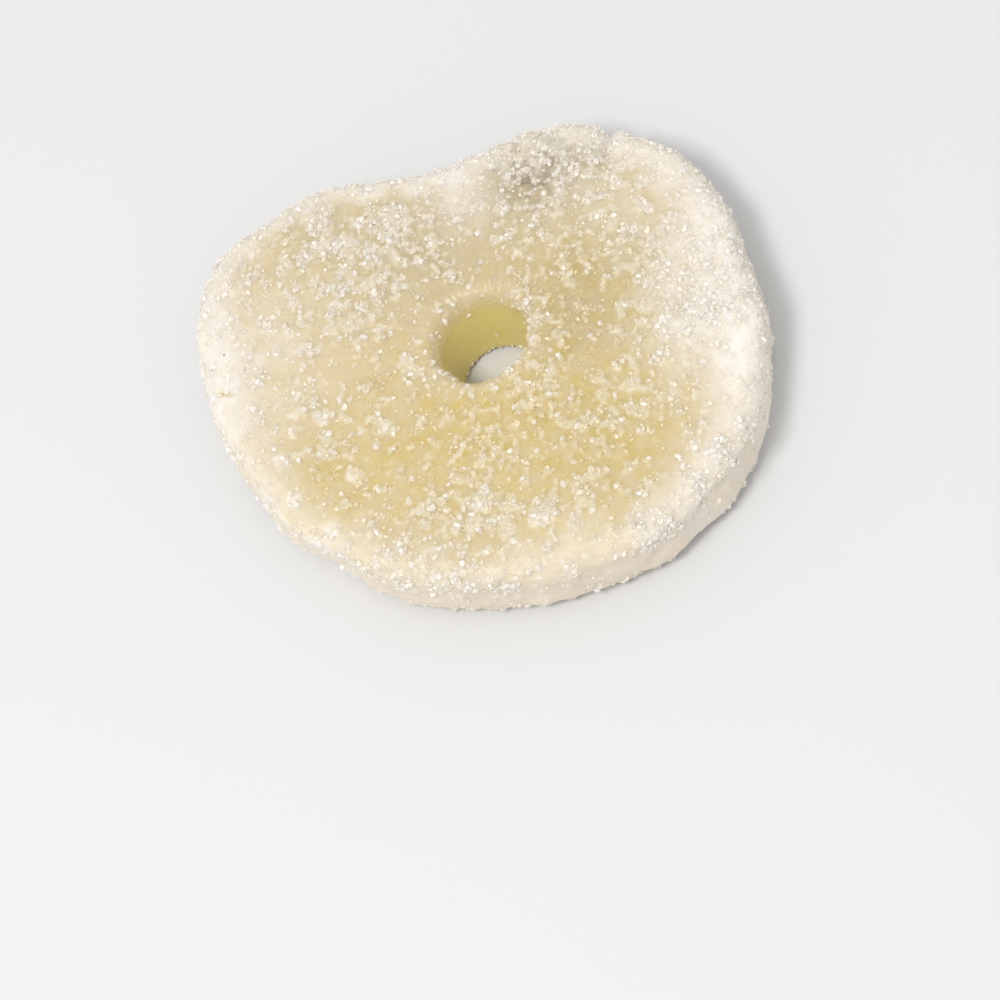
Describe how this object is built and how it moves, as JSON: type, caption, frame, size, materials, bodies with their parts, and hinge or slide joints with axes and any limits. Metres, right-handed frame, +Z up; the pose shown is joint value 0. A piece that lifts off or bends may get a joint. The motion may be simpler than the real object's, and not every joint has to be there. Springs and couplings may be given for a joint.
{
  "type": "candied pineapple ring",
  "caption": "Thick uneven ring of candied pineapple with a round hole through the middle, coated in coarse sugar crystals, lying flat.",
  "frame": {"origin": "middle of the ring's box, on the surface that it rests on", "axes": "+X along the longer side of the ring, +Y towards its dented side, +Z up through the hole, out of the sugared upper face"},
  "size_m": [0.0792, 0.0692, 0.013],
  "materials": {
    "sugared_pineapple": "pale yellow translucent fruit flesh under a crust of clear and white sugar crystals"
  },
  "bodies": {
    "root": {"candied_pineapple_ring": "sugared_pineapple"}
  },
  "joints": []
}
